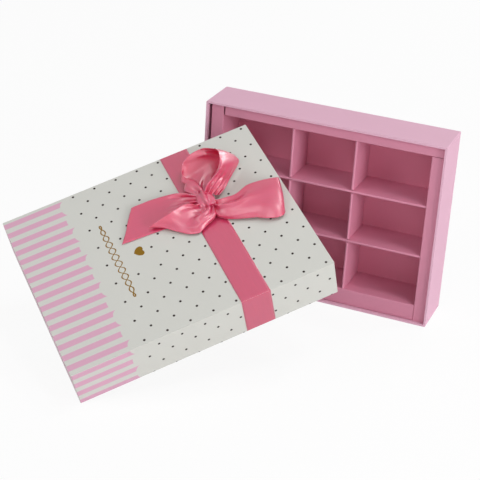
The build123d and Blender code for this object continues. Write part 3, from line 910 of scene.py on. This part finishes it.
# %% Bow: left loop
left_rows = [
    [(2.6, -8.0, 3.0), (0.2, -7.4, 5.4), (-2.6, -5.8, 6.6), (-5.5, -2.5, 6.4)],
    [
        (0.8, -16.9, 3.0), (-1.0, -15.8, 7.6), (-3.8, -12.5, 8.6),
        (-5.9, -6.7, 6.0), (-9.1, -3.5, 8.4),
    ],
    [
        (-3.0, -20.1, 2.6), (-5.7, -18.7, 7.8), (-8.4, -14.7, 9.2),
        (-9.7, -8.5, 5.2), (-12.5, -1.1, 9.4),
    ],
    [
        (-9.0, -23.0, 2.4), (-11.2, -20.0, 7.2), (-12.8, -15.2, 8.0),
        (-14.6, -11.1, 6.0), (-17.4, 0.6, 9.8),
    ],
    [
        (-13.8, -25.6, 2.4), (-15.8, -21.6, 6.0), (-17.3, -16.5, 6.2),
        (-19.2, -13.6, 6.2), (-21.5, -6.8, 8.2), (-23.9, -0.2, 10.6),
    ],
    [
        (-17.1, -27.1, 2.4), (-20.4, -21.6, 5.0), (-22.7, -17.5, 5.4),
        (-25.3, -12.4, 6.8), (-28.0, -6.7, 9.0), (-30.8, -2.4, 11.4),
    ],
    [(-20.0, -26.5, 2.4), (-28.2, -16.5, 4.8), (-33.2, -9.5, 7.4), (-38.7, -3.5, 10.4)],
    [(-23.6, -25.0, 2.3), (-32.1, -15.7, 4.0), (-38.3, -8.3, 5.8), (-45.9, -2.9, 7.2)],
    [(-26.5, -22.8, 1.9), (-34.8, -15.3, 2.9), (-41.8, -8.4, 3.7), (-52.0, -2.3, 4.2)],
    [(-25.5, -20.8, 1.0), (-32.7, -13.7, 2.2), (-39.1, -6.2, 2.8), (-48.7, -1.3, 3.0)],
    [(-21.0, -20.6, 0.9), (-30.0, -12.0, 1.6), (-43.5, -2.5, 2.7)],
    [(-15.0, -20.5, 1.0), (-24.0, -11.5, 1.8), (-35.5, -2.5, 2.8)],
    [(-8.0, -19.5, 1.3), (-15.5, -10.0, 2.3), (-26.5, -2.0, 3.3)],
    [(-2.0, -16.5, 1.8), (-8.5, -8.0, 3.0), (-17.5, -0.5, 4.0)],
    [(1.4, -9.6, 2.4), (-2.0, -5.0, 3.6), (-7.0, 1.0, 4.2)],
]
left_pleats = dict(count=3.1, ridge=0.07, depths=(2.0, 1.1), reaches=(0.31, 0.5))
bow_left = cloth_strip(
    "ribbon_left_loop", left_rows, cells_along=140, pleats=left_pleats
)

# %% [markdown]
# The right loop is the broadest: it fans out from two pleats, of which the upper
# one runs on as a ridge beside its far edge, to a wide soft fold and back beneath.
# It could be two flat sheets with a seam at the fold, but one run of cloth keeps the
# fold round, and its highlight unbroken.

# %% Bow: right loop
right_rows = [
    [(3.6, -8.0, 2.6), (4.2, -7.4, 4.6), (5.0, -6.0, 5.6), (5.4, -3.4, 5.0)],
    [(2.1, -17.2, 2.6), (4.3, -15.9, 6.0), (6.1, -12.3, 7.8), (8.8, -7.0, 6.2)],
    [(5.9, -22.7, 2.4), (8.5, -20.8, 7.0), (11.7, -15.5, 9.4), (14.8, -8.1, 6.9)],
    [(12.4, -27.5, 2.6), (16.5, -24.3, 7.4), (21.7, -17.1, 10.4), (24.1, -9.0, 7.7)],
    [(21.1, -32.0, 3.0), (26.8, -26.5, 8.0), (33.6, -15.7, 11.0), (35.8, -5.3, 9.0)],
    [(29.8, -36.2, 3.4), (36.7, -29.4, 8.2), (44.5, -17.6, 11.0), (46.8, -6.0, 9.4)],
    [(37.0, -41.6, 3.8), (44.3, -33.6, 8.0), (52.8, -19.3, 10.2), (55.3, -7.5, 9.0)],
    [(44.6, -44.7, 3.6), (50.5, -36.2, 7.0), (57.3, -22.0, 8.8), (60.3, -8.7, 8.4)],
    [(49.8, -44.5, 3.0), (54.0, -36.6, 5.4), (58.7, -23.9, 7.0), (62.5, -8.3, 7.0)],
    [(52.8, -41.9, 1.9), (55.7, -34.2, 3.4), (59.7, -22.3, 4.8), (63.0, -7.8, 5.4)],
    [(52.2, -40.3, 1.0), (54.9, -32.5, 2.2), (58.7, -21.0, 3.4), (61.6, -7.9, 4.4)],
    [(45.0, -38.6, 0.8), (48.5, -24.0, 1.8), (52.0, -8.6, 3.6)],
    [(34.0, -34.5, 0.8), (36.5, -21.5, 1.6), (39.0, -8.4, 3.0)],
    [(22.0, -27.5, 0.8), (24.5, -17.0, 1.7), (28.0, -7.4, 3.2)],
    [(11.0, -20.0, 1.0), (13.5, -13.0, 2.2), (18.0, -6.0, 3.6)],
    [(4.0, -8.4, 1.8), (4.8, -6.4, 3.2), (5.4, -3.6, 4.0)],
]
right_pleats = dict(count=2.3, ridge=0.78, depths=(2.0, 0.5), reaches=(0.4, 0.25))
bow_right = cloth_strip(
    "ribbon_right_loop", right_rows, cells_along=160, pleats=right_pleats
)

# %% [markdown]
# The top loop stands open towards the viewer: from the knot its wall curls up on
# the left, its floor runs over the lid, and on the right the cloth stands on edge,
# turns its outside to the viewer as a pale leaf and comes back down to the knot.
# Near the knot its free edge rolls inwards, which shows as one bright ridge. A bent
# tube would show only its outside. A single sheet shows both, as a real loop does.

# %% Bow: top loop
top_rows = [
    [(0.6, 6.5, 7.6), (-2.4, 6.6, 5.6), (1.4, 6.3, 3.0), (5.5, 6.6, 2.0)],
    [
        (2.4, 14.0, 8.0), (-0.3, 11.0, 9.8), (-7.9, 12.2, 5.0),
        (-1.0, 17.0, 1.4), (7.9, 17.6, 1.0), (14.4, 17.7, 0.9),
    ],
    [
        (0.4, 23.5, 7.6), (-3.6, 21.8, 9.0), (-11.4, 19.8, 5.4),
        (-2.0, 24.2, 3.2), (10.3, 25.0, 3.0), (20.7, 23.8, 2.0),
    ],
    [
        (-6.6, 31.3, 8.2), (-10.0, 29.4, 5.4), (-0.5, 31.4, 4.4),
        (13.6, 31.3, 5.4), (26.3, 27.6, 3.0),
    ],
    [
        (-4.3, 40.5, 10.4), (-0.5, 39.7, 9.2), (9.3, 37.5, 8.8),
        (21.5, 35.7, 7.6), (30.9, 31.4, 4.6),
    ],
    [(0.1, 43.7, 13.6), (8.7, 40.9, 12.6), (20.6, 38.4, 11.0), (35.1, 34.0, 6.0)],
    [(7.6, 45.4, 16.0), (15.3, 40.7, 15.0), (25.8, 37.8, 12.5), (38.6, 35.7, 6.0)],
    [(16.9, 44.2, 18.0), (25.3, 41.0, 14.0), (33.3, 38.7, 9.5), (40.8, 37.0, 4.5)],
    [(23.1, 37.0, 21.5), (31.0, 39.5, 13.0), (37.5, 38.9, 7.0), (42.0, 36.2, 3.4)],
    [(26.1, 29.2, 24.5), (32.8, 32.0, 17.5), (38.7, 33.0, 10.0), (42.3, 32.1, 4.4)],
    [(23.6, 18.3, 26.0), (30.7, 24.1, 19.5), (37.4, 27.1, 11.5), (42.3, 27.8, 5.0)],
    [
        (19.2, 12.6, 23.2), (21.4, 10.6, 25.0), (27.7, 15.4, 20.0),
        (34.3, 19.4, 12.4), (38.6, 22.6, 5.2),
    ],
    [
        (15.0, 11.2, 18.8), (17.6, 8.6, 21.6), (23.2, 10.4, 17.6),
        (28.4, 12.9, 11.9), (32.4, 17.0, 5.2),
    ],
    [
        (10.0, 10.6, 15.2), (12.0, 8.0, 17.6), (16.9, 7.4, 14.8),
        (21.7, 8.2, 10.6), (26.0, 11.6, 5.0),
    ],
    [
        (5.0, 9.2, 12.4), (6.3, 7.2, 13.7), (9.8, 4.6, 12.1),
        (14.4, 3.8, 9.4), (20.2, 5.9, 4.8),
    ],
    [(0.9, 6.3, 8.8), (2.6, 4.0, 8.4), (6.2, 2.0, 6.8), (12.4, 1.2, 4.0)],
]
top_pleats = dict(count=4.6, ridge=0.2, depths=(2.0, 1.4), reaches=(0.24, 0.26))
bow_top = cloth_strip("ribbon_top_loop", top_rows, cells_along=180, pleats=top_pleats)

# %% [markdown]
# The knot is a strap of the same ribbon drawn round the middle of the bow and
# tucked under it. It is crushed to half its width, narrow where it goes in under the
# top loop and broad over the other pieces. A ball would fill the place, but a real
# knot is cloth too, so it is led through rows and creased from end to end.

# %% Bow: knot
knot_rows = [
    [(-3.4, 5.6, 2.4), (-1.2, 7.0, 3.4), (1.4, 6.8, 3.4), (3.6, 5.4, 2.6)],
    [
        (-5.0, 7.4, 4.6), (-2.8, 9.0, 7.0), (-0.2, 9.0, 8.6),
        (2.4, 7.8, 8.4), (5.2, 5.6, 5.6),
    ],
    [
        (-7.0, 5.4, 5.4), (-4.8, 6.2, 7.8), (-1.2, 5.2, 10.8),
        (2.4, 4.0, 10.2), (6.4, 2.0, 7.0),
    ],
    [
        (-8.8, 1.8, 5.4), (-6.0, 1.6, 7.6), (-2.4, 0.8, 10.4),
        (2.2, 0.0, 9.8), (7.4, -2.2, 6.6),
    ],
    [
        (-9.4, -2.0, 5.4), (-6.2, -2.8, 7.8), (-2.2, -3.6, 9.6),
        (2.4, -4.2, 8.6), (7.2, -5.6, 6.0),
    ],
    [
        (-8.2, -5.2, 4.8), (-5.2, -6.6, 7.0), (-1.0, -7.6, 7.0),
        (2.2, -7.8, 8.0), (5.8, -8.4, 4.8),
    ],
    [(-6.0, -5.4, 2.6), (-3.4, -7.2, 3.4), (0.4, -8.2, 3.4), (4.4, -7.4, 2.8)],
]
knot_pleats = dict(count=2.6, ridge=0.36, depths=(0.8, 0.8), reaches=(1.2, 1.2))
bow_knot = cloth_strip("ribbon_knot", knot_rows, cells_along=60, pleats=knot_pleats)

# %% [markdown]
# The band is one flat ribbon: across the top, down both skirts, round the rims and
# a little way up inside, where it is glued. It could be a box bent round the lid,
# but cloth has no corners. So its line is drawn once as a chain of edges that is
# beveled at the corners.

# %% Line of the band
band_start, band_turn_in = 144.0 * MM, 14.0 * MM
wall_at_rim, band_gap = 1.8 * MM, 0.17 * MM
band_bend, bend_steps = 1.0 * MM, 6
band_cells_along, long_run = 40, 20 * MM


def band_line(strip):
    """The line of the band's left edge round the lid, with rounded corners."""
    inner = wall_at_rim + band_gap
    line = [
        (inner, band_turn_in),
        (inner, -band_gap),
        (-band_gap, -band_gap),
        (-band_gap, lid_depth + band_gap),
        (lid_width + band_gap, lid_depth + band_gap),
        (lid_width + band_gap, -band_gap),
        (lid_width - inner, -band_gap),
        (lid_width - inner, band_turn_in),
    ]
    corners = [strip.verts.new(lid_point(band_start, *place)) for place in line]
    for first, second in zip(corners, corners[1:]):
        strip.edges.new((first, second))
    bmesh.ops.bevel(
        strip,
        geom=corners[1:-1],
        offset=band_bend,
        offset_type="OFFSET",
        segments=bend_steps,
        profile=0.5,
        affect="VERTICES",
        material=-1,
    )
    bmesh.ops.subdivide_edges(
        strip,
        edges=[edge for edge in strip.edges if edge.calc_length() > long_run],
        cuts=band_cells_along,
        use_grid_fill=False,
    )


band_form = bmesh.new()
band_line(band_form)
print("the band's line has", len(band_form.edges), "edges")

# %% [markdown]
# The line is then extruded to the ribbon's width and cut into cells. A curve with a
# width of its own would do too, but a mesh can carry the flat map that the weave
# reads, in metres across the ribbon and along it.

# %% Ribbon band
band_width, band_cells_across, same_length = 25.0 * MM, 11, 0.01 * MM


def widen_band(strip):
    """Draws the line out to the ribbon's width, in even cells."""
    made = bmesh.ops.extrude_edge_only(strip, edges=strip.edges[:])
    moved = [part for part in made["geom"] if isinstance(part, bmesh.types.BMVert)]
    bmesh.ops.translate(strip, verts=moved, vec=lid_lengthwise * band_width)
    cross = [
        edge
        for edge in strip.edges
        if abs(edge.calc_length() - band_width) < same_length
    ]
    bmesh.ops.subdivide_edges(
        strip, edges=cross, cuts=band_cells_across, use_grid_fill=True
    )


widen_band(band_form)
band_map = band_form.loops.layers.uv.new("cloth")
for face in band_form.faces:
    for corner in face.loops:
        from_start = corner.vert.co - lid_point(band_start, 0, 0)
        corner[band_map].uv = (
            from_start.dot(lid_lengthwise),
            from_start.dot(lid_crosswise) + from_start.dot(lid_upright),
        )
bmesh.ops.recalc_face_normals(band_form, faces=band_form.faces)
band_mesh = bpy.data.meshes.new("ribbon_band_cloth")
band_form.to_mesh(band_mesh)
band_form.free()
band_mesh.shade_smooth()
band_cloth = cloth_piece("ribbon_band_cloth", band_mesh)
print("made", band_cloth.name, len(band_mesh.polygons), "faces")

# %% [markdown]
# The cloth is glued and tied to the lid, so every piece of it rides on the lid's
# body and moves as the lid is lifted. Each stands for one rigid solid of the CAD
# model, which is then hidden. The table lists the size of flat ribbon each was cut
# from, how it is held and what it lies on, and the share of that flat size that its
# cloth covers is printed. The loops are measured between their gathered edges, so
# their cloth comes out smaller than the ribbon that went into them.

# %% Where the cloth belongs
# Cloth, its solid, flat width and length in metres, how it is held, what it lies on.
cloth_facts = (
    (band_cloth, "ribbon_band", (0.025, 0.281), "stretched", ["lid_wrap"]),
    (bow_tail, "bow_tail", (0.036, 0.066), "gathered", ["lid_wrap"]),
    (bow_left, "bow_left_loop", (0.036, 0.076), "gathered", ["ribbon_tail"]),
    (bow_right, "bow_right_loop", (0.036, 0.126), "gathered", ["lid_wrap"]),
    (bow_top, "bow_top_loop", (0.036, 0.124), "gathered", ["lid_wrap"]),
    (bow_knot, "bow_knot", (0.018, 0.031), "gathered", ["ribbon_band_cloth"]),
)
for cloth, node_name, flat_size, held, rests_on in cloth_facts:
    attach(cloth, "lid")
    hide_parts(node_name)
    area = sum(face.area for face in cloth.data.polygons)
    print(cloth.name, "area share", round(area / (flat_size[0] * flat_size[1]), 2))

# %% [markdown]
# The box stands on a plain pale floor under an even sky, and both look white. More
# light would make them white too, but would bleach the box. So they only look so:
# on rays that come from the camera, or off a mirror or through glass, they shine by
# themselves, and to all the rest of the light they are plain. A little of the plain
# floor is left in, for the box's shadow.

# %% Floor
floor_half, floor_shine = 6.0, 0.92
white, floor_pale = (1.0, 1.0, 1.0, 1.0), (0.95, 0.95, 0.95, 1.0)


def seen_directly(tree):
    """1 on rays from the camera, off a mirror or through glass, else 0."""
    path = add_node(tree, "LightPath").outputs
    camera_ray = Varying(tree, path["Is Camera Ray"])
    glossy_ray = Varying(tree, path["Is Glossy Ray"])
    return larger(camera_ray, larger(glossy_ray, path["Is Transmission Ray"]))


floor_mesh = bpy.data.meshes.new("floor")
floor_form = bmesh.new()
bmesh.ops.create_grid(floor_form, x_segments=1, y_segments=1, size=floor_half)
floor_form.to_mesh(floor_mesh)
floor_form.free()
floor = bpy.data.objects.new("floor", floor_mesh)
bpy.context.scene.collection.objects.link(floor)
floor_material = bpy.data.materials.new("floor")
floor_material.use_nodes = True
floor_tree = floor_material.node_tree
floor_tree.nodes.clear()
floor_mix = add_node(
    floor_tree,
    "MixShader",
    seen_directly(floor_tree) * floor_shine,
    add_node(floor_tree, "BsdfDiffuse", floor_pale).outputs[0],
    add_node(floor_tree, "Emission", white, 1.0).outputs[0],
)
add_node(floor_tree, "OutputMaterial", floor_mix.outputs[0])
floor_mesh.materials.append(floor_material)
print("floor:", 2 * floor_half, "m wide")

# %% [markdown]
# The sky is done in the same way. It could give all the light, but an even light
# shows no folds, so its plain part is dim and only fills the shadows a little.

# %% Sky
sky_strength = 0.22

sky = bpy.data.worlds.new("sky")
bpy.context.scene.world = sky
sky.use_nodes = True
sky_tree = sky.node_tree
sky_tree.nodes.clear()
sky_mix = add_node(
    sky_tree,
    "MixShader",
    seen_directly(sky_tree),
    add_node(sky_tree, "Background", white, sky_strength).outputs[0],
    add_node(sky_tree, "Background", white, 1.0).outputs[0],
)
add_node(sky_tree, "OutputWorld", sky_mix.outputs[0])
print("sky strength on the box:", sky_strength)

# %% [markdown]
# Satin shows its folds only where each of them mirrors something bright, so one
# large lamp would leave the bow dull. The light comes from eight soft square lamps,
# strongest on the right and from above, as in the photograph. Each stands where the
# box or a fold of the bow needs it, and a small one gives a narrow highlight. Sizes
# are in metres and powers in watts.

# %% Lights
box_middle = Vector((0, -0.1, 0.08))
lamps = (
    # Name, place, size and power.
    ("high_right", (1.5, -0.9, 1.6), 1.1, 2.2),  # softens the bow's shadows
    ("overhead", (0.7, -0.5, 2.15), 0.45, 8.6),  # the base's top and the lid's
    ("above_front", (0.0, -1.45, 1.8), 0.45, 3.6),  # the crests of the folds
    ("low_right", (2.05, -0.9, 0.6), 0.8, 20.0),  # the right walls and dividers
    ("high_back", (0.7, 0.4, 1.9), 0.3, 6.0),  # narrow glints on the loops
    ("back", (0.2, 1.8, 0.95), 0.5, 6.4),  # the far sides of the folds
    ("front", (0.5, -2.2, 0.6), 1.2, 3.4),  # the floors of the cells
    ("left", (-1.3, -1.6, 1.3), 0.8, 7.5),  # the lid's near and left walls
)
for name, place, size, power in lamps:
    lamp = bpy.data.lights.new(name, "AREA")
    lamp.size = size
    lamp.energy = power
    lamp_object = bpy.data.objects.new(name, lamp)
    bpy.context.scene.collection.objects.link(lamp_object)
    facing = (Vector(place) - box_middle).to_track_quat("Z", "Y").to_matrix()
    lamp_object.matrix_world = Matrix.Translation(place) @ facing.to_4x4()
print("lamps:", [name for name, *_ in lamps])

# %% [markdown]
# Last, the view layer is brought up to date. The finished model has to be as large as
# the CAD model.

# %% Bring the scene up to date
bpy.context.view_layer.update()
